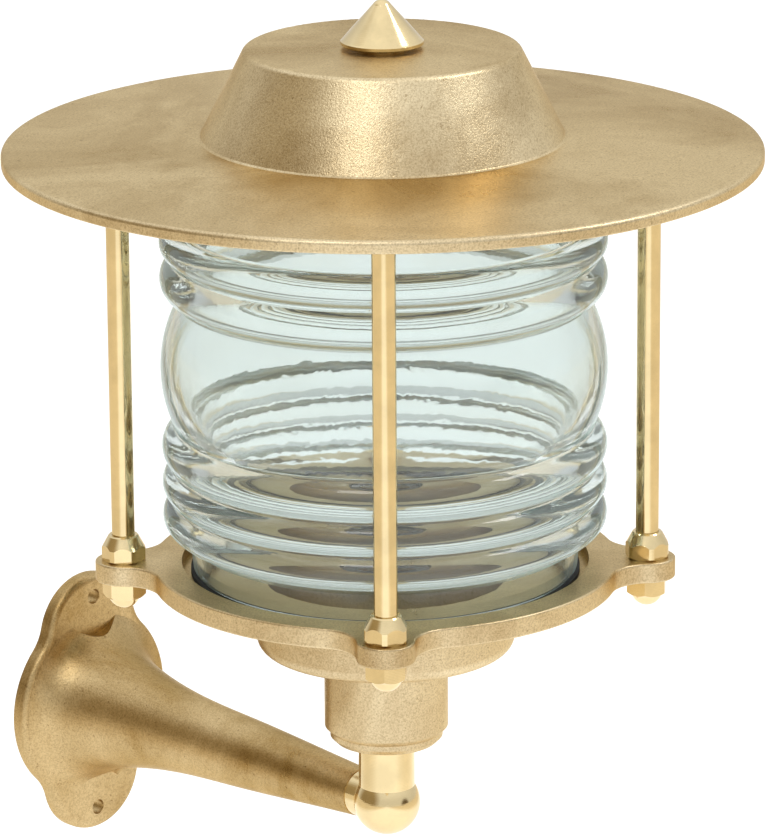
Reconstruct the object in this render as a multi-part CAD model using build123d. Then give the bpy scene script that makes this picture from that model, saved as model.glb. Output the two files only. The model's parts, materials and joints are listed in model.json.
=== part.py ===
from build123d import *
import math
import os

# Wall-mounted ship lantern in cast brass with a pressed glass lens.
# Frame: the origin is the centre of the wall plate's back face, +Z is up, and the lantern
# hangs out from the wall towards -Y. All sizes are in millimetres.

# ---------------------------------------------------------------- overall
REACH = 182.0  # wall face to the lantern's upright axis
BASE_RISE = 104.0  # arm centre line up to the top face of the base flange
GUARD_HEIGHT = 165.0  # base flange up to the canopy's seat face

# ---------------------------------------------------------------- wiring inside the arm
BLOCK_POLES = 3
POLE_PITCH = 8.4
POLE_TUBE_R = 2.4
POLE_BORE_R = 1.5
POLE_SCREW_R = 1.5
POLE_SCREW_SINK = 1.0  # clamp screw's head below the block's top
BLOCK_END_WALL = 0.4  # block beyond the outer poles' pitch on each side
BLOCK_WIDTH = BLOCK_POLES * POLE_PITCH + 2 * BLOCK_END_WALL
BLOCK_LENGTH = 17.0
BLOCK_HEIGHT = 11.0
BLOCK_CORNER_R = 1.5
BLOCK_FROM_WALL = 12.0  # wall face to the block's near end
PAD_DEPTH = 14.0  # arm centre line down to the pad under the block
EARTH_PAD_LENGTH = 10.0  # pad beyond the block, for the earth screw
EARTH_SCREW_R = 2.0
EARTH_HEAD_R = 3.6
EARTH_HEAD_HEIGHT = 2.6
EARTH_HOLE_DEPTH = 4.5
EARTH_SCREW_END_GAP = 1.0
LEAD_R = 1.1
LEAD_SPREAD = 1.5  # each lead from the middle of the nipple's bore
LEAD_SWEEP_R = 18.0  # easy bends on the way from the block to the nipple
LEAD_IN_POLE = 3.0  # lead's bared end inside its pole
LEAD_RUN_OUT = 16.0  # straight run out of the pole
LEAD_RUN_IN = 22.0  # straight run into the nipple
LEAD_JOIN = 4.0  # where the two stretches of a lead meet, inside the nipple
LEAD_STOP = 6.0  # lead's upper end below the holder's insert

# ---------------------------------------------------------------- elbow and nipples
THREAD_GAP = 0.05
NIPPLE_R = 5.0
NIPPLE_WALL = 1.5
NIPPLE_BORE_R = NIPPLE_R - NIPPLE_WALL
NIPPLE_GRIP = 9.0  # thread depth in the elbow
WIRE_BORE_R = NIPPLE_R - 0.8  # leaves a small ledge at the end of each thread
LEAD_BEND_R = 3 * (WIRE_BORE_R - LEAD_R) - 0.3  # the bend that stays inside the elbow's wire way
ELBOW_SPIGOT_R = NIPPLE_R + 4.6
ELBOW_SPIGOT_END = 15.0  # lantern axis to the face that the arm butts on
NECK_R = NIPPLE_R + 6.4
BALL_R = NECK_R + 2.2
SET_SCREW_R = 1.5
SET_SCREW_SINK = 1.0
LOCK_NUT_FLATS = 2 * NIPPLE_R + 4.0
LOCK_NUT_HEIGHT = 3.0
SLOT_WIDTH = 0.7  # screwdriver slots of the small screws
SLOT_DEPTH = 0.8

# ---------------------------------------------------------------- wall plate and horn arm
ARM_WALL = 3.0
ARM_TIP_R = ELBOW_SPIGOT_R + 0.3
ARM_TIP_SOLID = 14.0  # tip left solid for the nipple's thread
ARM_MID_R = ARM_TIP_R + 4.7
ARM_ROOT_R = BLOCK_WIDTH / 2 + 9.0  # where the arm starts to flare
ARM_FLARE_LENGTH = 28.0  # plate front to the start of the flare
ARM_FLARE_R = ARM_ROOT_R + 16.5  # flare's edge on the plate
SEAM_TURN = 90.0  # turns the seam of the turned horn to its underside
BACK_OPENING_R = ARM_FLARE_R - 9.0
GASKET_GROOVE_INNER_R = BACK_OPENING_R + 3.5
GASKET_GROOVE_OUTER_R = GASKET_GROOVE_INNER_R + 4.5
GASKET_GROOVE_DEPTH = 2.0
PLATE_THICKNESS = 6.5
PLATE_DISC_R = ARM_FLARE_R + 2.5  # round middle of the plate
PLATE_WAIST_R = 20.0  # blend between the middle and an ear
PLATE_EDGE_R = 3.0
SCREW_SPACING = 95.0
SCREW_HOLE_R = 3.25
SPOT_FACE_R = 16.5  # flat cut round each screw hole
PLATE_EAR_R = SPOT_FACE_R + 8.5  # one ear above and one below the middle
EAR_SETBACK = 15.5  # screw hole beyond the ear's centre
PLATE_EAR_RISE = SCREW_SPACING / 2 - EAR_SETBACK

# ---------------------------------------------------------------- guard rods and their nuts
ROD_R = 4.7
ROD_HOLE_GAP = 0.5
COLLAR_FLATS = 2 * ROD_R + 6.8
COLLAR_HEIGHT = 10.5
COLLAR_CORNER_R = COLLAR_FLATS / 2 + 0.7
COLLAR_TOP_R = ROD_R + 1.5
COLLAR_STRAIGHT = 5.2  # height of the flats below the cone
CAP_FLATS = 2 * ROD_R + 5.8
CAP_HEX_HEIGHT = 7.0
CAP_DOME_R = ROD_R + 1.6
CAP_DOME_HEIGHT = 5.2
CAP_BORE_DEPTH = CAP_HEX_HEIGHT + 2.0
CAP_END_GAP = 0.8
NUT_CHAMFER = 0.5
DOME_ROOT = 0.3  # a dome's root inside the piece below it
COLLAR_TURNS = (17.0, 0.0, 57.0, 40.0)  # how far each nut stopped round, in degrees
CAP_TURNS = (46.0, 56.0, 55.5, 22.0)

# ---------------------------------------------------------------- glass lens
GLASS_FOOT_R = 77.0
GLASS_WALL = 5.5
GLASS_FOOT_BORE_R = GLASS_FOOT_R - GLASS_WALL
GLASS_NECK_R = GLASS_FOOT_R + 5.0
GLASS_NECK_BORE_R = GLASS_NECK_R - GLASS_WALL
GLASS_NOTCH_R = GLASS_NECK_R + 1.5
GLASS_WAIST_R = GLASS_NECK_R - 1.0  # notch between the bulge and the upper ribs
GLASS_UPPER_NOTCH_R = GLASS_NECK_R + 1.0  # notch between the two upper ribs
GLASS_RIB_R = GLASS_NOTCH_R + 5.3
GLASS_BULGE_R = GLASS_NOTCH_R + 5.4
GLASS_BULGE_WALL = 4.6
FOOT_RISE = 13.5  # flange face up to the lowest rib
FOOT_COLLAR = 4.0  # height of the slope between the foot and the lowest rib
FOOT_FLARE = 1.0  # foot wider at its top than at its edge
LOWER_RIB_HEIGHTS = (13.5, 13.5, 16.5)  # upwards from the foot
UPPER_RIB_HEIGHTS = (17.0, 13.0)  # upwards from the bulge
NECK_LENGTH = 26.0  # top rib up to the canopy's seat face
GLASS_EDGE_R = 1.0
GLASS_NOTCH_FILLET_R = 1.2
GLASS_BORE_FILLET_R = 4.0

# ---------------------------------------------------------------- glass gaskets
GLASS_GASKET_THICKNESS = 2.0
GASKET_OVERHANG = 1.0  # gasket wider than the glass edge on each side
SEAT_GROOVE_DEPTH = 1.5

# ---------------------------------------------------------------- base casting
RECESS_R = GLASS_FOOT_R + 4.7
RECESS_DEPTH = 4.5
FLANGE_R = RECESS_R + 11.8
FLANGE_THICKNESS = 8.3
FLANGE_EDGE_R = 0.8
LUG_PITCH_R = FLANGE_R + 11.5  # rods' circle
LUG_NOSE_R = ROD_R + 6.7
LUG_BLEND_R = 16.0
LUG_COUNT = 4
FIRST_LUG_ANGLE = 45.0
DISH_R = GLASS_FOOT_BORE_R - 19.5
DISH_DEPTH = 28.7
DISH_WALL = 5.0
DISH_FLOOR = 4.0
DISH_EDGE_R = 5.0

# ---------------------------------------------------------------- lamp holder
SHELL_BORE_R = 13.1
SHELL_WALL = 0.5
SHELL_HEIGHT = 17.0
SHELL_LEDGE_HEIGHT = 4.0  # raised rim of the insert that the shell stands on
SHELL_LEDGE_R = SHELL_BORE_R - 1.1
SHELL_ROLL_R = 0.4  # rolled thread ridges on the shell's outside
SHELL_ROLL_PITCH = 3.6
FIRST_ROLL = 0.6  # first ridge above the shell's foot, in pitches
CONTACT_R = 3.5
CONTACT_HEIGHT = 1.6
CONTACT_STEM_R = 1.5
CONTACT_STROKE = 2.0
CONTACT_GAP = 0.08
INSERT_R = SHELL_BORE_R + 2.7
INSERT_THICKNESS = 7.0
HOLDER_WALL = 3.0
HOLDER_R = INSERT_R + 0.5 + HOLDER_WALL
HOLDER_CAP_HEIGHT = 17.0
HOLDER_SLEEVE_HEIGHT = 28.0
HOLDER_NECK_R = NIPPLE_R + 3.5
HOLDER_NECK_HEIGHT = 4.0
TERMINAL_SCREW_R = 1.7
TERMINAL_HEAD_R = 2.8
TERMINAL_OFFSET = INSERT_R - TERMINAL_HEAD_R - 4.0
TERMINAL_SCREW_SINK = 1.0

# ---------------------------------------------------------------- socket under the dish
SOCKET_BORE_R = HOLDER_R + 2.1
SOCKET_WALL = 3.6
SOCKET_R = SOCKET_BORE_R + SOCKET_WALL
SOCKET_LENGTH = 40.0
SOCKET_STEP = 2.2
SOCKET_STEP_LENGTH = 6.5
SOCKET_FLOOR = 4.0

# ---------------------------------------------------------------- canopy
BRIM_R = LUG_PITCH_R + 45.0
BRIM_RIM_HEIGHT = 5.0
BRIM_RIM_WIDTH = 4.0
BRIM_RISE = 4.3  # brim's edge up to the foot of the crown
BRIM_THICKNESS = 3.8
CROWN_BASE_R = 72.0
CROWN_TOP_R = 54.3
CROWN_HEIGHT = 35.0
CROWN_WALL = 4.0
CROWN_EDGE_R = 2.5
CROWN_FOOT_R = 1.2
SEAT_RING_INNER_R = GLASS_NECK_BORE_R - 5.0
SEAT_RING_OUTER_R = GLASS_NECK_R + 5.5
ROD_BOSS_R = ROD_R + 4.3
ROD_BOSS_DROP = 6.0  # boss reaches this far below the seat face
ROD_BOSS_ROOT = 0.5  # boss's root inside the brim

# ---------------------------------------------------------------- finial
STUD_R = 4.0
STUD_HOLE_GAP = 0.2
STUD_RISE = 12.0  # stud above the crown
STUD_TAIL = 2.0  # stud below its inner nut
FINIAL_SPIGOT_R = STUD_R + 5.4
FINIAL_SPIGOT_HEIGHT = 1.2
FINIAL_DISC_R = FINIAL_SPIGOT_R + 7.0
FINIAL_DISC_HEIGHT = 2.3
FINIAL_CONE_HEIGHT = 15.8
FINIAL_TIP_R = 3.6
FINIAL_TIP_HEIGHT = 2.0
INNER_NUT_FLATS = 2 * STUD_R + 5.0
INNER_NUT_HEIGHT = 6.5
INNER_WASHER_R = STUD_R + 4.5
INNER_WASHER_THICKNESS = 1.6

# ---------------------------------------------------------------- levels above the flange
FLANGE_BOTTOM_Z = -FLANGE_THICKNESS
DISH_BOTTOM_Z = FLANGE_BOTTOM_Z - DISH_DEPTH
SOCKET_BOTTOM_Z = DISH_BOTTOM_Z - SOCKET_LENGTH
SOCKET_FLOOR_Z = SOCKET_BOTTOM_Z + SOCKET_FLOOR
GLASS_BOTTOM_Z = -RECESS_DEPTH + GLASS_GASKET_THICKNESS
GLASS_TOP_Z = GUARD_HEIGHT + SEAT_GROOVE_DEPTH - GLASS_GASKET_THICKNESS
RIM_TOP_Z = GUARD_HEIGHT + BRIM_RIM_HEIGHT
CROWN_BASE_Z = RIM_TOP_Z + BRIM_RISE
CROWN_TOP_Z = CROWN_BASE_Z + CROWN_HEIGHT
CROWN_ROOF_Z = CROWN_TOP_Z - CROWN_WALL
ARM_AXIS_Z = -BASE_RISE
HOLDER_BOTTOM_Z = SOCKET_FLOOR_Z + LOCK_NUT_HEIGHT
HOLDER_JOIN_Z = HOLDER_BOTTOM_Z + HOLDER_CAP_HEIGHT
HOLDER_TOP_Z = HOLDER_JOIN_Z + HOLDER_SLEEVE_HEIGHT
INSERT_TOP_Z = HOLDER_JOIN_Z + HOLDER_WALL
SHELL_BOTTOM_Z = INSERT_TOP_Z + SHELL_LEDGE_HEIGHT
ARM_FRONT_Y = -PLATE_THICKNESS
ARM_TIP_Y = -REACH + ELBOW_SPIGOT_END
EARTH_Y = -BLOCK_FROM_WALL - BLOCK_LENGTH - EARTH_PAD_LENGTH / 2

LANTERN = Pos(0, -REACH, BASE_RISE)
BOTTOM = (Align.CENTER, Align.CENTER, Align.MIN)


# ---------------------------------------------------------------- helpers
def post(radius, low, high):
    """An upright cylinder between two levels."""
    return Pos(0, 0, low) * Cylinder(radius, high - low, align=BOTTOM)


def tube(outer_r, inner_r, low, high):
    """An upright tube between two levels."""
    return post(outer_r, low, high) - post(inner_r, low, high)


def turned(*points):
    """A solid turned about the upright axis from (radius, level) points."""
    return revolve(Plane.XZ * make_face(Polyline(*points, close=True)), Axis.Z)


def dome(base_r, height):
    """A spherical cap that stands on the origin's plane, with a thin root beneath it."""
    sphere_r = (base_r**2 + height**2) / (2 * height)
    return Pos(0, 0, height - sphere_r) * Sphere(sphere_r) & post(sphere_r, -DOME_ROOT, height)


def hex_prism(flats, low, high):
    """An upright hexagonal prism between two levels, with a corner towards +X."""
    outline = RegularPolygon(flats / 2, 6, major_radius=False)
    return Pos(0, 0, low) * extrude(outline, high - low)


def screw_slot(head_r, level):
    """A screwdriver slot across a screw's end at a level."""
    return Pos(0, 0, level) * Box(2 * head_r, SLOT_WIDTH, 2 * SLOT_DEPTH)


def along_y(solid):
    """Turns an upright solid so that its +Z points along +Y."""
    return Rot(-90, 0, 0) * solid


def lug_places():
    """The guard rods' places round the lantern axis."""
    step = 360 / LUG_COUNT
    return [Rot(0, 0, FIRST_LUG_ANGLE + k * step) * Pos(LUG_PITCH_R, 0, 0) for k in range(LUG_COUNT)]


# ---------------------------------------------------------------- bracket
def horn_line(inset, plate_r, tip_y):
    """One side of the horn from its tip to the plate: a long taper, then a flare."""
    root_y = ARM_FRONT_Y - ARM_FLARE_LENGTH
    middle_y = (ARM_TIP_Y + root_y) / 2
    return Spline(
        (ARM_TIP_R - inset, tip_y),
        (ARM_MID_R - inset, middle_y),
        (ARM_ROOT_R - inset, root_y),
        (plate_r, ARM_FRONT_Y),
        tangents=[(0.06, 1), (1, 0.3)],
    )


def bracket_arm():
    flare = horn_line(0, ARM_FLARE_R, ARM_TIP_Y)
    horn_side = flare + Polyline(
        (ARM_FLARE_R, ARM_FRONT_Y),
        (0, ARM_FRONT_Y),
        (0, ARM_TIP_Y),
        (ARM_TIP_R, ARM_TIP_Y),
    )
    horn = Rot(0, SEAM_TURN, 0) * revolve(make_face(horn_side), Axis.Y)

    outline = Circle(PLATE_DISC_R)
    outline += [Pos(0, side * PLATE_EAR_RISE) * Circle(PLATE_EAR_R) for side in (-1, 1)]
    corners = [v for v in outline.vertices() if abs(v.Y) > 1 and abs(v.X) > 1]
    outline = fillet(corners, PLATE_WAIST_R)
    plate = extrude(Plane.XZ * outline, PLATE_THICKNESS)
    front_edges = plate.faces().sort_by(Axis.Y)[0].edges()
    plate = fillet(front_edges, PLATE_EDGE_R)
    arm = plate + horn

    for side in (-1, 1):
        hole_z = side * SCREW_SPACING / 2
        spot = along_y(post(SPOT_FACE_R, 0, ARM_FLARE_LENGTH))
        arm -= Pos(0, ARM_FRONT_Y - ARM_FLARE_LENGTH, hole_z) * spot
        arm -= Pos(0, -PLATE_THICKNESS, hole_z) * along_y(post(SCREW_HOLE_R, 0, PLATE_THICKNESS))

    cavity_start = ARM_TIP_Y + ARM_TIP_SOLID
    cavity_line = horn_line(ARM_WALL, BACK_OPENING_R, ARM_TIP_Y)
    cavity_side = cavity_line + Polyline(
        (BACK_OPENING_R, ARM_FRONT_Y),
        (BACK_OPENING_R, 0),
        (0, 0),
        (0, ARM_TIP_Y),
        (ARM_TIP_R - ARM_WALL, ARM_TIP_Y),
    )
    cavity = Rot(0, SEAM_TURN, 0) * revolve(make_face(cavity_side), Axis.Y)
    tip_block = Pos(0, ARM_TIP_Y, 0) * along_y(post(ARM_ROOT_R, 0, ARM_TIP_SOLID))
    cavity -= tip_block

    pad_length = BLOCK_LENGTH + EARTH_PAD_LENGTH
    pad = Box(2 * ARM_ROOT_R, pad_length, 2 * ARM_ROOT_R, align=(Align.CENTER, Align.MAX, Align.MAX))
    cavity -= Pos(0, -BLOCK_FROM_WALL, -PAD_DEPTH) * pad
    arm -= cavity
    arm -= Pos(0, ARM_TIP_Y, 0) * along_y(post(NIPPLE_R, 0, ARM_TIP_SOLID))
    arm -= wall_gasket()
    arm -= Pos(0, EARTH_Y, 0) * post(EARTH_SCREW_R, -PAD_DEPTH - EARTH_HOLE_DEPTH, -PAD_DEPTH)
    return arm


def wall_gasket():
    ring = along_y(tube(GASKET_GROOVE_OUTER_R, GASKET_GROOVE_INNER_R, 0, GASKET_GROOVE_DEPTH))
    return Pos(0, -GASKET_GROOVE_DEPTH, 0) * ring


def earth_screw():
    low = -PAD_DEPTH - EARTH_HOLE_DEPTH + EARTH_SCREW_END_GAP
    shank = post(EARTH_SCREW_R - THREAD_GAP, low, -PAD_DEPTH)
    head = post(EARTH_HEAD_R, -PAD_DEPTH, -PAD_DEPTH + EARTH_HEAD_HEIGHT)
    slot = screw_slot(EARTH_HEAD_R, -PAD_DEPTH + EARTH_HEAD_HEIGHT)
    return Pos(0, EARTH_Y, 0) * (head + shank - slot)


# ---------------------------------------------------------------- elbow and nipples
def elbow_fitting():
    """Ball elbow: a spigot towards the arm and a neck up to the socket, bored for the wires."""
    ball = Pos(0, 0, ARM_AXIS_Z) * Sphere(BALL_R)
    spigot = Pos(0, 0, ARM_AXIS_Z) * along_y(post(ELBOW_SPIGOT_R, 0, ELBOW_SPIGOT_END))
    neck = post(NECK_R, ARM_AXIS_Z, SOCKET_BOTTOM_Z)
    elbow = ball + spigot + neck
    elbow -= post(WIRE_BORE_R, ARM_AXIS_Z, SOCKET_BOTTOM_Z)
    wire_way = Sphere(WIRE_BORE_R) + along_y(post(WIRE_BORE_R, 0, ELBOW_SPIGOT_END))
    elbow -= Pos(0, 0, ARM_AXIS_Z) * wire_way
    elbow -= post(NIPPLE_R, SOCKET_BOTTOM_Z - NIPPLE_GRIP, SOCKET_BOTTOM_Z)
    grip = along_y(post(NIPPLE_R, ELBOW_SPIGOT_END - NIPPLE_GRIP, ELBOW_SPIGOT_END))
    elbow -= Pos(0, 0, ARM_AXIS_Z) * grip
    elbow -= set_screw_place() * post(SET_SCREW_R, 0, NECK_R)
    return elbow


def set_screw_place():
    """The set screw's axis: out through the neck, on the wall side."""
    return Pos(0, 0, SOCKET_BOTTOM_Z - NIPPLE_GRIP / 2) * Rot(-90, 0, 0)


def elbow_set_screw():
    high = NECK_R - SET_SCREW_SINK
    screw = post(SET_SCREW_R - THREAD_GAP, NIPPLE_R, high)
    return set_screw_place() * (screw - screw_slot(SET_SCREW_R, high))


def nipple(length):
    """A hollow threaded nipple that stands on its lower end."""
    return tube(NIPPLE_R - THREAD_GAP, NIPPLE_BORE_R, 0, length)


def arm_nipple():
    start = ELBOW_SPIGOT_END - NIPPLE_GRIP
    length = NIPPLE_GRIP + ARM_TIP_SOLID
    return Pos(0, start, ARM_AXIS_Z) * along_y(nipple(length))


def stem_nipple():
    low = SOCKET_BOTTOM_Z - NIPPLE_GRIP
    return Pos(0, 0, low) * nipple(HOLDER_BOTTOM_Z + HOLDER_NECK_HEIGHT - low)


def stem_lock_nut():
    nut = hex_prism(LOCK_NUT_FLATS, SOCKET_FLOOR_Z, HOLDER_BOTTOM_Z)
    return nut - post(NIPPLE_R, SOCKET_FLOOR_Z, HOLDER_BOTTOM_Z)


# ---------------------------------------------------------------- base casting and glass
def base_housing():
    outline = Circle(FLANGE_R)
    for place in lug_places():
        arm_box = Pos(-LUG_PITCH_R / 2, 0) * Rectangle(LUG_PITCH_R, 2 * LUG_NOSE_R)
        outline += place * (Circle(LUG_NOSE_R) + arm_box)
    flange = Pos(0, 0, FLANGE_BOTTOM_Z) * extrude(outline, FLANGE_THICKNESS)
    lug_half_angle = math.degrees(math.asin(LUG_NOSE_R / FLANGE_R))
    corners = []
    for edge in flange.edges().filter_by(Axis.Z):
        spot = edge.center()
        if math.hypot(spot.X, spot.Y) < FLANGE_R + 0.01 and angle_to_lug(spot) < lug_half_angle + 1:
            corners.append(edge)
    flange = fillet(corners, LUG_BLEND_R)
    rim_edges = flange.faces().sort_by(Axis.Z)[-1].edges() + flange.faces().sort_by(Axis.Z)[0].edges()
    flange = fillet(rim_edges, FLANGE_EDGE_R)

    dish = post(DISH_R, DISH_BOTTOM_Z, FLANGE_BOTTOM_Z)
    dish = fillet(dish.edges().sort_by(Axis.Z)[0], DISH_EDGE_R)
    step_z = SOCKET_BOTTOM_Z + SOCKET_STEP_LENGTH
    step_r = SOCKET_R - SOCKET_STEP
    bevel = SOCKET_STEP
    socket = turned(
        (0, SOCKET_BOTTOM_Z),
        (step_r - bevel, SOCKET_BOTTOM_Z),
        (step_r, SOCKET_BOTTOM_Z + bevel),
        (step_r, step_z - SOCKET_STEP),
        (SOCKET_R, step_z),
        (SOCKET_R, DISH_BOTTOM_Z),
        (0, DISH_BOTTOM_Z),
    )
    base = flange + dish + socket

    base -= post(RECESS_R, -RECESS_DEPTH, 0)
    base -= post(DISH_R - DISH_WALL, DISH_BOTTOM_Z + DISH_FLOOR, -RECESS_DEPTH)
    base -= post(SOCKET_BORE_R, SOCKET_FLOOR_Z, DISH_BOTTOM_Z + DISH_FLOOR)
    base -= post(NIPPLE_R, SOCKET_BOTTOM_Z, SOCKET_FLOOR_Z)
    for place in lug_places():
        base -= place * post(ROD_R + ROD_HOLE_GAP, FLANGE_BOTTOM_Z, 0)
    return base


def angle_to_lug(spot):
    """Degrees round the lantern axis from a point to the nearest lug."""
    step = 360 / LUG_COUNT
    turn = (math.degrees(math.atan2(spot.Y, spot.X)) - FIRST_LUG_ANGLE) % step
    return min(turn, step - turn)


def glass_levels():
    """Levels of the notches from the foot to the neck; the bulge takes what the ribs leave."""
    levels = [FOOT_RISE]
    for height in LOWER_RIB_HEIGHTS:
        levels.append(levels[-1] + height)
    neck = GUARD_HEIGHT - NECK_LENGTH
    levels.append(neck - sum(UPPER_RIB_HEIGHTS))
    levels.append(neck - UPPER_RIB_HEIGHTS[1])
    levels.append(neck)
    return levels


def glass_lens():
    """Ribbed lens: its bore runs straight behind the ribs and opens out behind the bulge."""
    levels = glass_levels()
    notch_radii = [GLASS_NOTCH_R] * 4 + [GLASS_WAIST_R, GLASS_UPPER_NOTCH_R, GLASS_NECK_R]
    crest_radii = [GLASS_RIB_R] * 3 + [GLASS_BULGE_R] + [GLASS_RIB_R] * 2
    side = Polyline(
        (GLASS_FOOT_BORE_R, GLASS_BOTTOM_Z),
        (GLASS_FOOT_R - GLASS_EDGE_R, GLASS_BOTTOM_Z),
        (GLASS_FOOT_R, GLASS_BOTTOM_Z + GLASS_EDGE_R),
        (GLASS_FOOT_R + FOOT_FLARE, levels[0] - FOOT_COLLAR),
        (notch_radii[0], levels[0]),
    )
    for k, crest_r in enumerate(crest_radii):
        low = (notch_radii[k], levels[k])
        high = (notch_radii[k + 1], levels[k + 1])
        side += ThreePointArc(low, (crest_r, (levels[k] + levels[k + 1]) / 2), high)
    side += Polyline(
        (notch_radii[-1], levels[-1]),
        (GLASS_NECK_R, GLASS_TOP_Z - GLASS_EDGE_R),
        (GLASS_NECK_R - GLASS_EDGE_R, GLASS_TOP_Z),
        (GLASS_NECK_BORE_R, GLASS_TOP_Z),
        (GLASS_NECK_BORE_R, levels[4]),
    )
    bulge_bore_r = GLASS_BULGE_R - GLASS_BULGE_WALL
    bulge_middle = (levels[3] + levels[4]) / 2
    side += ThreePointArc(
        (GLASS_NECK_BORE_R, levels[4]),
        (bulge_bore_r, bulge_middle),
        (GLASS_NECK_BORE_R, levels[3]),
    )
    side += Polyline(
        (GLASS_NECK_BORE_R, levels[3]),
        (GLASS_NECK_BORE_R, levels[0]),
        (GLASS_FOOT_BORE_R, levels[0] - FOOT_COLLAR),
        (GLASS_FOOT_BORE_R, GLASS_BOTTOM_Z),
    )
    lens = revolve(Plane.XZ * make_face(side), Axis.Z)
    notches = []
    for notch_r, level in zip(notch_radii, levels):
        notches += circles_at(lens, notch_r, level)
    lens = fillet(notches, GLASS_NOTCH_FILLET_R)
    shoulders = circles_at(lens, GLASS_NECK_BORE_R, levels[3])
    shoulders += circles_at(lens, GLASS_NECK_BORE_R, levels[4])
    return fillet(shoulders, GLASS_BORE_FILLET_R)


def lower_glass_gasket():
    outer = GLASS_FOOT_R + GASKET_OVERHANG
    return tube(outer, GLASS_FOOT_BORE_R - GASKET_OVERHANG, -RECESS_DEPTH, GLASS_BOTTOM_Z)


def upper_glass_gasket():
    outer = GLASS_NECK_R + GASKET_OVERHANG
    inner = GLASS_NECK_BORE_R - GASKET_OVERHANG
    return tube(outer, inner, GLASS_TOP_Z, GUARD_HEIGHT + SEAT_GROOVE_DEPTH)


# ---------------------------------------------------------------- canopy
def canopy():
    """Wide brim and hollow crown in one casting, with a seat ring for the glass and four rod bosses."""
    under_brim_z = RIM_TOP_Z - BRIM_THICKNESS
    wall_slope = (CROWN_BASE_R - CROWN_TOP_R) / CROWN_HEIGHT
    inner_top_r = CROWN_TOP_R - CROWN_WALL + CROWN_WALL * wall_slope
    inner_base_r = inner_top_r + (CROWN_ROOF_Z - GUARD_HEIGHT) * wall_slope
    rise = BRIM_RISE / (BRIM_R - CROWN_BASE_R)
    casting = turned(
        (0, CROWN_ROOF_Z),
        (inner_top_r, CROWN_ROOF_Z),
        (min(inner_base_r, SEAT_RING_INNER_R), GUARD_HEIGHT),
        (SEAT_RING_OUTER_R, GUARD_HEIGHT),
        (SEAT_RING_OUTER_R, under_brim_z + rise * (BRIM_R - SEAT_RING_OUTER_R)),
        (BRIM_R - BRIM_RIM_WIDTH, under_brim_z),
        (BRIM_R - BRIM_RIM_WIDTH, GUARD_HEIGHT),
        (BRIM_R, GUARD_HEIGHT),
        (BRIM_R, RIM_TOP_Z),
        (CROWN_BASE_R, CROWN_BASE_Z),
        (CROWN_TOP_R, CROWN_TOP_Z),
        (0, CROWN_TOP_Z),
    )
    casting = fillet(circles_at(casting, CROWN_TOP_R, CROWN_TOP_Z), CROWN_EDGE_R)
    casting = fillet(circles_at(casting, CROWN_BASE_R, CROWN_BASE_Z), CROWN_FOOT_R)
    casting = fillet(circles_at(casting, BRIM_R, RIM_TOP_Z), BRIM_RIM_HEIGHT / 3)
    casting = fillet(circles_at(casting, BRIM_R, GUARD_HEIGHT), BRIM_RIM_HEIGHT / 8)
    boss_top_z = under_brim_z + rise * (BRIM_R - LUG_PITCH_R + ROD_BOSS_R) + ROD_BOSS_ROOT
    for place in lug_places():
        casting += place * post(ROD_BOSS_R, GUARD_HEIGHT - ROD_BOSS_DROP, boss_top_z)
        casting -= place * post(ROD_R, GUARD_HEIGHT - ROD_BOSS_DROP, GUARD_HEIGHT)
    groove_r = GLASS_NECK_R + GASKET_OVERHANG
    groove_bore_r = GLASS_NECK_BORE_R - GASKET_OVERHANG
    casting -= tube(groove_r, groove_bore_r, GUARD_HEIGHT, GUARD_HEIGHT + SEAT_GROOVE_DEPTH)
    casting -= post(STUD_R + STUD_HOLE_GAP, CROWN_ROOF_Z, CROWN_TOP_Z)
    return casting


def circles_at(solid, radius, level):
    """The circular edges of a radius about the upright axis at a level."""
    rings = solid.edges().filter_by(GeomType.CIRCLE)
    return [e for e in rings if abs(e.radius - radius) < 0.01 and abs(e.arc_center.Z - level) < 0.01]


def finial_stud():
    low = CROWN_ROOF_Z - INNER_WASHER_THICKNESS - INNER_NUT_HEIGHT - STUD_TAIL
    return post(STUD_R - THREAD_GAP, low, CROWN_TOP_Z + STUD_RISE)


def finial_inner_washer():
    low = CROWN_ROOF_Z - INNER_WASHER_THICKNESS
    return tube(INNER_WASHER_R, STUD_R + STUD_HOLE_GAP, low, CROWN_ROOF_Z)


def finial_inner_nut():
    high = CROWN_ROOF_Z - INNER_WASHER_THICKNESS
    low = high - INNER_NUT_HEIGHT
    return hex_prism(INNER_NUT_FLATS, low, high) - post(STUD_R, low, high)


def finial_nut():
    """Turned nut: a short spigot, a thin disc and a cone with a rounded tip."""
    disc_z = CROWN_TOP_Z + FINIAL_SPIGOT_HEIGHT
    cone_z = disc_z + FINIAL_DISC_HEIGHT
    tip_low = cone_z + FINIAL_CONE_HEIGHT - FINIAL_TIP_HEIGHT
    edge = FINIAL_DISC_HEIGHT / 4
    nut = turned(
        (0, CROWN_TOP_Z),
        (FINIAL_SPIGOT_R, CROWN_TOP_Z),
        (FINIAL_SPIGOT_R, disc_z),
        (FINIAL_DISC_R - edge, disc_z),
        (FINIAL_DISC_R, disc_z + edge),
        (FINIAL_DISC_R, cone_z - edge),
        (FINIAL_DISC_R - edge, cone_z),
        (FINIAL_TIP_R, tip_low),
        (0, tip_low),
    )
    nut += Pos(0, 0, tip_low) * dome(FINIAL_TIP_R, FINIAL_TIP_HEIGHT)
    return nut - post(STUD_R, CROWN_TOP_Z, CROWN_TOP_Z + STUD_RISE + THREAD_GAP)


# ---------------------------------------------------------------- guard rods and nuts
def guard_rod():
    """A plain rod, screwed into the canopy's boss and through the lug into the cap nut."""
    return post(ROD_R - THREAD_GAP, FLANGE_BOTTOM_Z - CAP_BORE_DEPTH + CAP_END_GAP, GUARD_HEIGHT)


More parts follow.
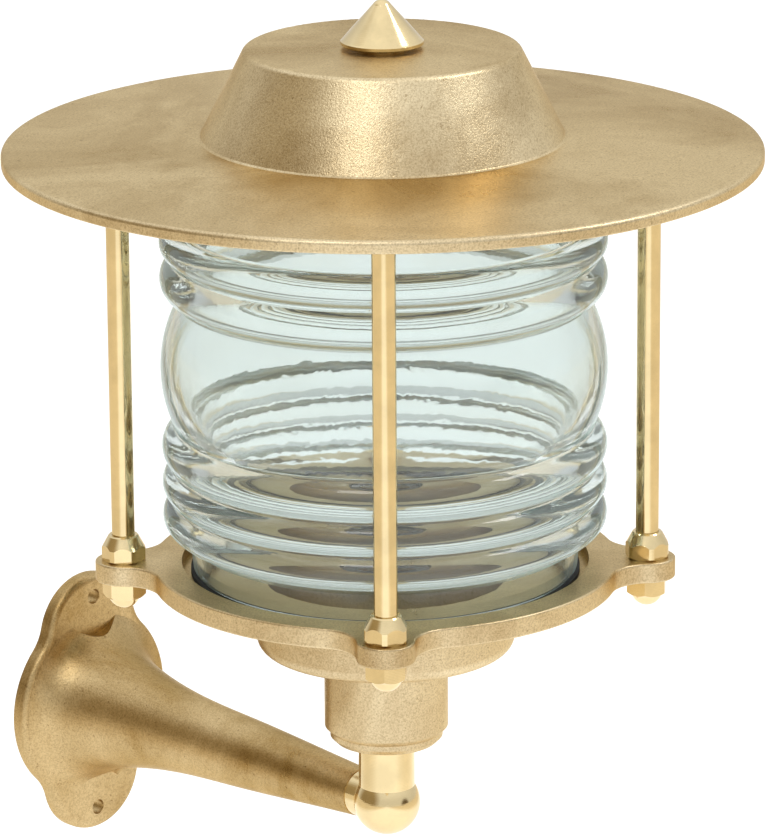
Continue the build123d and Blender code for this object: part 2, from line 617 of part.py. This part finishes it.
def collar_nut(turn):
    """Tall hexagonal nut with a conical top, seated on the lug."""
    cone = turned(
        (0, 0),
        (COLLAR_FLATS / 2, 0),
        (COLLAR_CORNER_R, NUT_CHAMFER),
        (COLLAR_CORNER_R, COLLAR_STRAIGHT),
        (COLLAR_TOP_R, COLLAR_HEIGHT - NUT_CHAMFER),
        (COLLAR_TOP_R - NUT_CHAMFER, COLLAR_HEIGHT),
        (0, COLLAR_HEIGHT),
    )
    nut = Rot(0, 0, turn) * hex_prism(COLLAR_FLATS, 0, COLLAR_HEIGHT) & cone
    return nut - post(ROD_R, 0, COLLAR_HEIGHT)


def cap_nut(turn):
    """Low domed nut beneath the lug, with a blind threaded bore."""
    hex_bottom = FLANGE_BOTTOM_Z - CAP_HEX_HEIGHT
    corner_r = CAP_FLATS / math.sqrt(3)
    body = turned(
        (0, FLANGE_BOTTOM_Z),
        (CAP_FLATS / 2, FLANGE_BOTTOM_Z),
        (corner_r, FLANGE_BOTTOM_Z - NUT_CHAMFER),
        (corner_r, hex_bottom + 2 * NUT_CHAMFER),
        (CAP_FLATS / 2, hex_bottom),
        (0, hex_bottom),
    )
    nut = Rot(0, 0, turn) * hex_prism(CAP_FLATS, hex_bottom, FLANGE_BOTTOM_Z) & body
    nut += Pos(0, 0, hex_bottom) * Rot(180, 0, 0) * dome(CAP_DOME_R, CAP_DOME_HEIGHT)
    return nut - post(ROD_R, FLANGE_BOTTOM_Z - CAP_BORE_DEPTH, FLANGE_BOTTOM_Z)


# ---------------------------------------------------------------- lamp holder
def holder_cap():
    """Lower half of the lamp holder: a cup with a threaded neck on the nipple."""
    cup_z = HOLDER_BOTTOM_Z + HOLDER_NECK_HEIGHT
    cup = post(HOLDER_R, cup_z, HOLDER_JOIN_Z)
    cup = fillet(cup.edges().sort_by(Axis.Z)[0], HOLDER_WALL)
    cup -= post(HOLDER_R - HOLDER_WALL, cup_z + HOLDER_WALL, HOLDER_JOIN_Z)
    cup += post(HOLDER_NECK_R, HOLDER_BOTTOM_Z, cup_z + HOLDER_WALL / 3)
    return cup - post(NIPPLE_R, HOLDER_BOTTOM_Z, cup_z + HOLDER_WALL)


def holder_insert():
    """Porcelain disc with a raised rim for the shell, clamped between the cap and the sleeve."""
    low = INSERT_TOP_Z - INSERT_THICKNESS
    disc = post(INSERT_R, low, INSERT_TOP_Z)
    disc += tube(SHELL_BORE_R + SHELL_WALL, SHELL_LEDGE_R, INSERT_TOP_Z, SHELL_BOTTOM_Z)
    disc -= post(CONTACT_STEM_R + CONTACT_GAP, low, INSERT_TOP_Z)
    for side in (-1, 1):
        disc -= Pos(side * TERMINAL_OFFSET, 0, 0) * post(TERMINAL_SCREW_R, low, INSERT_TOP_Z)
    return disc


def holder_sleeve():
    """Upper half of the lamp holder: a sleeve with a lip that keeps the screw shell in."""
    shell_r = SHELL_BORE_R + SHELL_WALL + SHELL_ROLL_R
    sleeve = post(HOLDER_R, HOLDER_JOIN_Z, HOLDER_TOP_Z)
    sleeve = fillet(sleeve.edges().sort_by(Axis.Z)[-1], HOLDER_WALL / 2)
    sleeve -= post(INSERT_R + CONTACT_GAP, HOLDER_JOIN_Z, INSERT_TOP_Z)
    sleeve -= post(shell_r + CONTACT_GAP, INSERT_TOP_Z, SHELL_BOTTOM_Z + SHELL_HEIGHT)
    return sleeve - post(SHELL_BORE_R + SHELL_WALL, SHELL_BOTTOM_Z, HOLDER_TOP_Z)


def screw_shell():
    """Thin brass shell for the lamp's cap, with rolled ridges."""
    shell = tube(SHELL_BORE_R + SHELL_WALL, SHELL_BORE_R, SHELL_BOTTOM_Z, SHELL_BOTTOM_Z + SHELL_HEIGHT)
    ridge_count = int(SHELL_HEIGHT / SHELL_ROLL_PITCH)
    for k in range(ridge_count):
        ring = Torus(SHELL_BORE_R + SHELL_WALL, SHELL_ROLL_R)
        shell += Pos(0, 0, SHELL_BOTTOM_Z + (k + FIRST_ROLL) * SHELL_ROLL_PITCH) * ring
    return shell - post(SHELL_BORE_R, SHELL_BOTTOM_Z, SHELL_BOTTOM_Z + SHELL_HEIGHT)


def centre_contact():
    head_z = INSERT_TOP_Z + CONTACT_STROKE
    head = post(CONTACT_R, head_z, head_z + CONTACT_HEIGHT)
    head = fillet(head.edges().sort_by(Axis.Z)[-1], CONTACT_HEIGHT / 2)
    return head + post(CONTACT_STEM_R, INSERT_TOP_Z - INSERT_THICKNESS, head_z)


def terminal_screws():
    low = INSERT_TOP_Z - INSERT_THICKNESS
    screws = []
    for side in (-1, 1):
        screw = post(TERMINAL_SCREW_R - THREAD_GAP, low, INSERT_TOP_Z - TERMINAL_SCREW_SINK)
        screw += post(TERMINAL_HEAD_R, low - TERMINAL_HEAD_R / 2, low)
        screw -= screw_slot(TERMINAL_HEAD_R, low - TERMINAL_HEAD_R / 2)
        screws.append(Pos(side * TERMINAL_OFFSET, 0, 0) * screw)
    return Compound(screws)


# ---------------------------------------------------------------- wiring inside the arm
def pole_places():
    middle = (BLOCK_POLES - 1) / 2
    block_y = -BLOCK_FROM_WALL - BLOCK_LENGTH / 2
    pole_z = -PAD_DEPTH + BLOCK_HEIGHT / 2
    return [Pos((k - middle) * POLE_PITCH, block_y, pole_z) for k in range(BLOCK_POLES)]


def pole_tube():
    body = Pos(0, -BLOCK_LENGTH / 2, 0) * along_y(tube(POLE_TUBE_R, POLE_BORE_R, 0, BLOCK_LENGTH))
    for side in (-1, 1):
        body -= Pos(0, side * BLOCK_LENGTH / 4, 0) * post(POLE_SCREW_R, 0, POLE_TUBE_R)
    return body


def terminal_block():
    block_y = -BLOCK_FROM_WALL - BLOCK_LENGTH / 2
    block = Box(BLOCK_WIDTH, BLOCK_LENGTH, BLOCK_HEIGHT, align=BOTTOM)
    block = Pos(0, block_y, -PAD_DEPTH) * fillet(block.edges().filter_by(Axis.Z), BLOCK_CORNER_R)
    screw_hole = post(POLE_SCREW_R + THREAD_GAP, 0, BLOCK_HEIGHT)
    for place in pole_places():
        block -= place * Pos(0, -BLOCK_LENGTH / 2, 0) * along_y(post(POLE_TUBE_R, 0, BLOCK_LENGTH))
        for side in (-1, 1):
            block -= place * Pos(0, side * BLOCK_LENGTH / 4, 0) * screw_hole
    return block


def terminal_tubes():
    return Compound([place * pole_tube() for place in pole_places()])


def clamp_screws():
    screws = []
    high = BLOCK_HEIGHT / 2 - POLE_SCREW_SINK
    for place in pole_places():
        for side in (-1, 1):
            screw = post(POLE_SCREW_R - THREAD_GAP, POLE_BORE_R, high) - screw_slot(POLE_SCREW_R, high)
            screws.append(place * Pos(0, side * BLOCK_LENGTH / 4, 0) * screw)
    return Compound(screws)


def lead(side, pole):
    """A wire from the terminal block, along the arm, round the elbow and up into the lamp holder."""
    start = pole_places()[pole].position
    start_y = start.Y - BLOCK_LENGTH / 2 + LEAD_IN_POLE
    x = side * LEAD_SPREAD
    nipple_y = ARM_TIP_Y + ARM_TIP_SOLID
    join_y = nipple_y - LEAD_JOIN
    top_z = BASE_RISE + INSERT_TOP_Z - INSERT_THICKNESS - LEAD_STOP
    path = FilletPolyline(
        (start.X, start_y, start.Z),
        (start.X, start_y - LEAD_RUN_OUT, start.Z),
        (x, nipple_y + LEAD_RUN_IN, 0),
        (x, join_y, 0),
        radius=LEAD_SWEEP_R,
    )
    path += FilletPolyline((x, join_y, 0), (x, -REACH, 0), (x, -REACH, top_z), radius=LEAD_BEND_R)
    return sweep((path ^ 0) * Circle(LEAD_R), path)


# ---------------------------------------------------------------- assembly
def lantern_nodes():
    """The pieces that stand on the lantern's own axis, by node name."""
    nodes = {
        "elbow_fitting": elbow_fitting(),
        "elbow_set_screw": elbow_set_screw(),
        "arm_nipple": arm_nipple(),
        "stem_nipple": stem_nipple(),
        "stem_lock_nut": stem_lock_nut(),
        "base_housing": base_housing(),
        "lower_glass_gasket": lower_glass_gasket(),
        "glass_lens": glass_lens(),
        "upper_glass_gasket": upper_glass_gasket(),
        "canopy": canopy(),
        "finial_stud": finial_stud(),
        "finial_inner_washer": finial_inner_washer(),
        "finial_inner_nut": finial_inner_nut(),
        "finial_nut": finial_nut(),
        "holder_cap": holder_cap(),
        "holder_insert": holder_insert(),
        "holder_sleeve": holder_sleeve(),
        "screw_shell": screw_shell(),
        "centre_contact": centre_contact(),
        "terminal_screws": terminal_screws(),
    }
    for number, place in enumerate(lug_places(), start=1):
        nodes[f"guard_rod_{number}"] = place * guard_rod()
        nodes[f"collar_nut_{number}"] = place * collar_nut(COLLAR_TURNS[number - 1])
        nodes[f"cap_nut_{number}"] = place * cap_nut(CAP_TURNS[number - 1])
    return {name: LANTERN * solid for name, solid in nodes.items()}


def bracket_nodes():
    """The pieces on the arm's own axis, by node name."""
    return {
        "bracket_arm": bracket_arm(),
        "wall_gasket": wall_gasket(),
        "earth_screw": earth_screw(),
        "terminal_block": terminal_block(),
        "terminal_tubes": terminal_tubes(),
        "clamp_screws": clamp_screws(),
        "live_lead": lead(-1, 0),
        "neutral_lead": lead(1, 2),
    }


os.makedirs("parts", exist_ok=True)
for node, solid in {**bracket_nodes(), **lantern_nodes()}.items():
    export_step(solid, f"parts/{node}.step")
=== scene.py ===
"""Looks, light and camera for the ship lantern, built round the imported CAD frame."""

import json
import math

import bpy
from mathutils import Matrix, Vector


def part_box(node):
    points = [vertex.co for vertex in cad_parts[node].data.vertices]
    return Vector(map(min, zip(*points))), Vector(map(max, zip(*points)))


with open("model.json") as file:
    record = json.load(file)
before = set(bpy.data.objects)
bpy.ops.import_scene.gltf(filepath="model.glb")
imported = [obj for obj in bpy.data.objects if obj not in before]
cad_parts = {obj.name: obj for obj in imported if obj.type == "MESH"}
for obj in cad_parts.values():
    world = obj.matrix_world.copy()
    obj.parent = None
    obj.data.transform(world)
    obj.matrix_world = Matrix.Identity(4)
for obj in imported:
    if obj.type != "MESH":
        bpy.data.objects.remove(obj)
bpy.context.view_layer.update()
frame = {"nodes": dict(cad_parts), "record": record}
NODES = frame["nodes"]

# ---------------------------------------------------------------- places, from the frame (metres)
GLASS_LOW, GLASS_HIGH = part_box("glass_lens")
AXIS_X = (GLASS_LOW[0] + GLASS_HIGH[0]) / 2
AXIS_Y = (GLASS_LOW[1] + GLASS_HIGH[1]) / 2
FLANGE_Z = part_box("base_housing")[1][2]

# ---------------------------------------------------------------- camera
CAMERA_AZIMUTH = math.radians(-45.0)
CAMERA_DISTANCE = 2.1974  # level distance to the lantern's axis
CAMERA_RISE = 0.7048  # above the base flange
CAMERA_PITCH = math.radians(16.417)
CAMERA_ROLL = math.radians(0.367)
CAMERA_LENS = 246.3
CAMERA_SENSOR = 36.0
CAMERA_CLIP = 100.0
EXPOSURE = 0.1

# ---------------------------------------------------------------- light
KEY_WHITE = (1.0, 0.985, 0.96)
SOFT_BOX_SIZE = (0.5, 0.45)
SOFT_BOX_DISTANCE = 1.9
SOFT_BOX_AIM = 0.08  # above the base flange
FLOOR_DROP = 0.16  # floor below the lowest point
FLOOR_SIZE = 14.0
FLOOR_GLOW = 0.3
FLOOR_ROUGHNESS = 0.9
FLOOR_WHITE = (0.95, 0.95, 0.95)
FLOOR_SHADE = (0.68, 0.6, 0.47)
SIDE_AZIMUTH = 45.0  # across the sweep
SWEEP_HALF_WIDTH = 0.42
SWEEP_FADE = 0.35
# the dome's grey at a few heights, from the sine of the elevation
DOME_SHADES = (
    (0.1, (0.69, 0.69, 0.69)),
    (0.3, (0.7, 0.7, 0.7)),
    (0.62, (0.86, 0.87, 0.89)),
    (0.95, (1.0, 1.0, 1.0)),
)
# unlit parts of the studio: azimuth, elevation, full and faded half-widths in degrees, tint
DARK_SIDES = (
    (-118.0, 10.0, 26.0, 48.0, (0.46, 0.36, 0.21)),
    (20.0, 0.0, 9.0, 17.0, (0.2, 0.15, 0.09)),
)


def material(name):
    """A new material with an empty tree, its Principled shader and its output."""
    mat = bpy.data.materials.new(name)
    mat.use_nodes = True
    tree = mat.node_tree
    tree.nodes.clear()
    shader = tree.nodes.new("ShaderNodeBsdfPrincipled")
    output = tree.nodes.new("ShaderNodeOutputMaterial")
    tree.links.new(shader.outputs["BSDF"], output.inputs["Surface"])
    return mat, tree, shader


def noise(tree, coordinates, scale, detail=3.0, roughness=0.5, distortion=0.0):
    node = tree.nodes.new("ShaderNodeTexNoise")
    node.inputs["Scale"].default_value = scale
    node.inputs["Detail"].default_value = detail
    node.inputs["Roughness"].default_value = roughness
    node.inputs["Distortion"].default_value = distortion
    tree.links.new(coordinates, node.inputs["Vector"])
    return node.outputs["Fac"]


def ramp(tree, factor, *stops):
    """A colour ramp from (place, colour) stops."""
    node = tree.nodes.new("ShaderNodeValToRGB")
    elements = node.color_ramp.elements
    while len(elements) < len(stops):
        elements.new(0.5)
    for element, (place, colour) in zip(elements, stops):
        element.position = place
        element.color = (*colour, 1.0)
    tree.links.new(factor, node.inputs["Fac"])
    return node.outputs["Color"]


def remap(tree, factor, low, high, from_low=0.3, from_high=0.7):
    node = tree.nodes.new("ShaderNodeMapRange")
    node.inputs["From Min"].default_value = from_low
    node.inputs["From Max"].default_value = from_high
    node.inputs["To Min"].default_value = low
    node.inputs["To Max"].default_value = high
    tree.links.new(factor, node.inputs["Value"])
    return node.outputs["Result"]


def mix_colour(tree, factor, first, second, blend="MIX"):
    node = tree.nodes.new("ShaderNodeMix")
    node.data_type = "RGBA"
    node.blend_type = blend
    if isinstance(factor, float):
        node.inputs["Factor"].default_value = factor
    else:
        tree.links.new(factor, node.inputs["Factor"])
    tree.links.new(first, node.inputs["A"])
    tree.links.new(second, node.inputs["B"])
    return node.outputs["Result"]


def bump(tree, height, strength, distance, normal=None):
    node = tree.nodes.new("ShaderNodeBump")
    node.inputs["Strength"].default_value = strength
    node.inputs["Distance"].default_value = distance
    tree.links.new(height, node.inputs["Height"])
    if normal is not None:
        tree.links.new(normal, node.inputs["Normal"])
    return node.outputs["Normal"]


def object_place(tree):
    return tree.nodes.new("ShaderNodeTexCoord").outputs["Object"]


# ---------------------------------------------------------------- materials
def cast_brass(name, pale, deep, rough=0.29):
    """Bead-blasted cast brass: cloudy tone, fine sparkling grain and a few darker pores."""
    mat, tree, shader = material(name)
    place = object_place(tree)
    cloud = noise(tree, place, 12, detail=6, roughness=0.65, distortion=0.8)
    grain = noise(tree, place, 1300, detail=2, roughness=0.8)
    speck = noise(tree, place, 520, detail=2, roughness=0.7)
    tone = ramp(tree, cloud, (0.36, deep), (0.6, pale))
    grit = ramp(tree, grain, (0.34, (0.62, 0.58, 0.52)), (0.58, (1.0, 1.0, 1.0)))
    tone = mix_colour(tree, 0.75, tone, grit, "MULTIPLY")
    pores = ramp(tree, speck, (0.27, (0.4, 0.32, 0.22)), (0.34, (1.0, 1.0, 1.0)))
    tone = mix_colour(tree, 0.6, tone, pores, "MULTIPLY")
    tree.links.new(tone, shader.inputs["Base Color"])
    shader.inputs["Metallic"].default_value = 1.0
    shader.inputs["Specular Tint"].default_value = (0.86, 0.76, 0.58, 1.0)
    tree.links.new(remap(tree, cloud, rough - 0.04, rough + 0.08), shader.inputs["Roughness"])
    normal = bump(tree, grain, strength=0.42, distance=0.0003)
    normal = bump(tree, cloud, strength=0.12, distance=0.0015, normal=normal)
    tree.links.new(normal, shader.inputs["Normal"])
    return mat


def turned_metal(name, colour, rough=0.09):
    """Machined and polished metal with faint turning lines and a little tarnish."""
    mat, tree, shader = material(name)
    place = object_place(tree)
    haze = noise(tree, place, 60, detail=4, roughness=0.6)
    lines = tree.nodes.new("ShaderNodeTexWave")
    lines.wave_type = "BANDS"
    lines.bands_direction = "Z"
    lines.inputs["Scale"].default_value = 500
    lines.inputs["Distortion"].default_value = 1.5
    tree.links.new(place, lines.inputs["Vector"])
    dull = tuple(c * 0.86 for c in colour)
    tree.links.new(ramp(tree, haze, (0.35, dull), (0.6, colour)), shader.inputs["Base Color"])
    shader.inputs["Metallic"].default_value = 1.0
    tree.links.new(remap(tree, haze, rough, rough + 0.07), shader.inputs["Roughness"])
    normal = bump(tree, lines.outputs["Fac"], strength=0.02, distance=0.0002)
    tree.links.new(normal, shader.inputs["Normal"])
    return mat


def pressed_glass(name):
    """Clear pressed glass with a faint green tint and slight waviness."""
    mat, tree, shader = material(name)
    place = object_place(tree)
    wave = noise(tree, place, 28, detail=4, roughness=0.55, distortion=0.3)
    shader.inputs["Base Color"].default_value = (0.9, 0.965, 0.955, 1.0)
    shader.inputs["Roughness"].default_value = 0.03
    shader.inputs["IOR"].default_value = 1.5
    shader.inputs["Transmission Weight"].default_value = 0.93
    shader.inputs["Sheen Weight"].default_value = 0.75
    shader.inputs["Sheen Roughness"].default_value = 0.35
    shader.inputs["Sheen Tint"].default_value = (0.72, 0.96, 0.93, 1.0)
    tree.links.new(bump(tree, wave, strength=0.12, distance=0.002), shader.inputs["Normal"])
    absorb = tree.nodes.new("ShaderNodeVolumeAbsorption")
    absorb.inputs["Color"].default_value = (0.5, 0.88, 0.84, 1.0)
    absorb.inputs["Density"].default_value = 2.2
    output = tree.nodes["Material Output"]
    tree.links.new(absorb.outputs["Volume"], output.inputs["Volume"])
    return mat


def moulded(name, colour, rough, coat=0.0, speck_scale=260.0):
    """Plain moulded or glazed stuff with a slight mottle."""
    mat, tree, shader = material(name)
    place = object_place(tree)
    mottle = noise(tree, place, speck_scale, detail=3, roughness=0.6)
    dark = tuple(c * 0.8 for c in colour)
    tree.links.new(ramp(tree, mottle, (0.35, dark), (0.62, colour)), shader.inputs["Base Color"])
    tree.links.new(remap(tree, mottle, rough, rough + 0.12), shader.inputs["Roughness"])
    shader.inputs["Coat Weight"].default_value = coat
    tree.links.new(bump(tree, mottle, strength=0.1, distance=0.0003), shader.inputs["Normal"])
    return mat


CAST_BRASS = cast_brass("cast_brass_grained", (0.84, 0.7, 0.45), (0.6, 0.46, 0.26))
TURNED_BRASS = turned_metal("turned_brass_polished", (0.88, 0.71, 0.4))
# The wall bracket gets a darker copy of the cast brass: painted shade that darkens the plate and arm in
# colour, in place of shade the lighting does not give them.
BRACKET_BRASS_PAINTED_SHADE = cast_brass("cast_brass_painted_shade", (0.7, 0.53, 0.28), (0.44, 0.29, 0.11))
FITTING_BRASS = turned_metal("fitting_brass_plain", (0.8, 0.62, 0.32), rough=0.2)
STEEL = turned_metal("set_screw_steel", (0.5, 0.5, 0.52), rough=0.3)
GLASS = pressed_glass("pressed_glass")
RUBBER = moulded("seal_rubber_black", (0.03, 0.03, 0.03), 0.6)
PHENOLIC = moulded("phenolic_brown", (0.05, 0.028, 0.018), 0.25, coat=0.4)
PORCELAIN = moulded("porcelain_white", (0.85, 0.83, 0.78), 0.15, coat=0.6)
BLOCK_PLASTIC = moulded("block_white", (0.8, 0.8, 0.76), 0.4)
LIVE = moulded("live_brown", (0.18, 0.07, 0.03), 0.35)
NEUTRAL = moulded("neutral_blue", (0.02, 0.08, 0.35), 0.35)

BY_SLOT = {
    "cast_brass": CAST_BRASS,
    "turned_brass": TURNED_BRASS,
    "fitting_brass": FITTING_BRASS,
    "steel": STEEL,
    "seal_rubber": RUBBER,
    "lens_glass": GLASS,
    "holder_plastic": PHENOLIC,
    "porcelain": PORCELAIN,
    "block_plastic": BLOCK_PLASTIC,
    "live_insulation": LIVE,
    "neutral_insulation": NEUTRAL,
}
# bracket_arm takes the darker brass copy, which is painted shade.
BY_NODE = {"bracket_arm": BRACKET_BRASS_PAINTED_SHADE}


def dress_nodes():
    """Gives every CAD node its own material, or that of its slot."""
    for part in frame["record"]["subparts"]:
        for slot in NODES[part["node"]].material_slots:
            slot.material = BY_NODE.get(part["node"]) or BY_SLOT[part["material_slot"]]


# ---------------------------------------------------------------- stage, light and camera
def make_floor():
    """White paper sweep that runs away from the camera, on a pale sand-coloured floor."""
    low = min(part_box(name)[0][2] for name in NODES)
    bpy.ops.mesh.primitive_plane_add(size=FLOOR_SIZE, location=(AXIS_X, AXIS_Y, low - FLOOR_DROP))
    floor = bpy.context.object
    floor.name = "studio_floor"
    mat, tree, shader = material("pale_floor")
    along = tree.nodes.new("ShaderNodeVectorMath")
    along.operation = "DOT_PRODUCT"
    along.inputs[1].default_value = compass(SIDE_AZIMUTH, 0)
    tree.links.new(object_place(tree), along.inputs[0])
    offset = tree.nodes.new("ShaderNodeMath")
    offset.operation = "ABSOLUTE"
    tree.links.new(along.outputs["Value"], offset.inputs[0])
    reach = remap(tree, offset.outputs["Value"], 0.0, 1.0, SWEEP_HALF_WIDTH, SWEEP_HALF_WIDTH + SWEEP_FADE)
    tone = ramp(tree, reach, (0.0, FLOOR_WHITE), (1.0, FLOOR_SHADE))
    tree.links.new(tone, shader.inputs["Base Color"])
    tree.links.new(tone, shader.inputs["Emission Color"])
    shader.inputs["Emission Strength"].default_value = FLOOR_GLOW
    shader.inputs["Roughness"].default_value = FLOOR_ROUGHNESS
    floor.data.materials.append(mat)


def compass(azimuth, elevation):
    """Unit vector towards an azimuth and elevation in degrees; azimuth 0 is -Y."""
    turn, rise = math.radians(azimuth), math.radians(elevation)
    return Vector((math.sin(turn) * math.cos(rise), -math.cos(turn) * math.cos(rise), math.sin(rise)))


def camera_direction():
    """Level direction from the lantern to the camera."""
    return Vector((math.sin(CAMERA_AZIMUTH), -math.cos(CAMERA_AZIMUTH), 0.0))


def make_camera():
    data = bpy.data.cameras.new("camera")
    data.lens = CAMERA_LENS
    data.sensor_width = CAMERA_SENSOR
    data.clip_end = CAMERA_CLIP
    camera = bpy.data.objects.new("camera", data)
    bpy.context.collection.objects.link(camera)
    place = Vector((AXIS_X, AXIS_Y, FLANGE_Z + CAMERA_RISE)) + camera_direction() * CAMERA_DISTANCE
    forward = -camera_direction() * math.cos(CAMERA_PITCH) - Vector((0, 0, math.sin(CAMERA_PITCH)))
    turn = forward.to_track_quat("-Z", "Y").to_matrix().to_4x4()
    camera.matrix_world = Matrix.Translation(place) @ turn @ Matrix.Rotation(-CAMERA_ROLL, 4, "Z")
    bpy.context.scene.camera = camera


def soft_box(name, azimuth, elevation, power):
    """A soft box that looks at the middle of the lantern."""
    data = bpy.data.lights.new(name, "AREA")
    data.shape = "RECTANGLE"
    data.size, data.size_y = SOFT_BOX_SIZE
    data.energy = power
    data.color = KEY_WHITE
    light = bpy.data.objects.new(name, data)
    bpy.context.collection.objects.link(light)
    back = compass(azimuth, elevation)
    target = Vector((AXIS_X, AXIS_Y, FLANGE_Z + SOFT_BOX_AIM))
    light.location = target + back * SOFT_BOX_DISTANCE
    light.rotation_euler = back.to_track_quat("Z", "Y").to_euler()


def lobe(tree, direction, azimuth, elevation, inner, outer, tint):
    """White everywhere but a soft round patch of the tint towards an azimuth and elevation."""
    dot = tree.nodes.new("ShaderNodeVectorMath")
    dot.operation = "DOT_PRODUCT"
    dot.inputs[1].default_value = compass(azimuth, elevation)
    tree.links.new(direction, dot.inputs[0])
    near = math.cos(math.radians(inner))
    far = math.cos(math.radians(outer))
    reach = remap(tree, dot.outputs["Value"], 0.0, 1.0, far, near)
    return ramp(tree, reach, (0.0, (1.0, 1.0, 1.0)), (1.0, tint))


def make_world():
    """A soft white dome, dimmer towards the horizon and brown in the unlit parts of the studio."""
    world = bpy.data.worlds.new("studio")
    bpy.context.scene.world = world
    world.use_nodes = True
    tree = world.node_tree
    tree.nodes.clear()
    direction = tree.nodes.new("ShaderNodeTexCoord").outputs["Generated"]
    height = tree.nodes.new("ShaderNodeSeparateXYZ")
    tree.links.new(direction, height.inputs[0])
    shade = ramp(tree, height.outputs["Z"], *DOME_SHADES)
    for side in DARK_SIDES:
        shade = mix_colour(tree, 1.0, shade, lobe(tree, direction, *side), "MULTIPLY")
    background = tree.nodes.new("ShaderNodeBackground")
    background.inputs["Strength"].default_value = 1.0
    tree.links.new(shade, background.inputs["Color"])
    output = tree.nodes.new("ShaderNodeOutputWorld")
    tree.links.new(background.outputs["Background"], output.inputs["Surface"])


def set_view():
    view = bpy.context.scene.view_settings
    view.view_transform = "Standard"
    view.look = "None"
    view.exposure = EXPOSURE


dress_nodes()
make_floor()
make_camera()
make_world()
soft_box("soft_box_left", -63, 50, 3.0)
soft_box("soft_box_right", 43, 49, 5.0)
set_view()
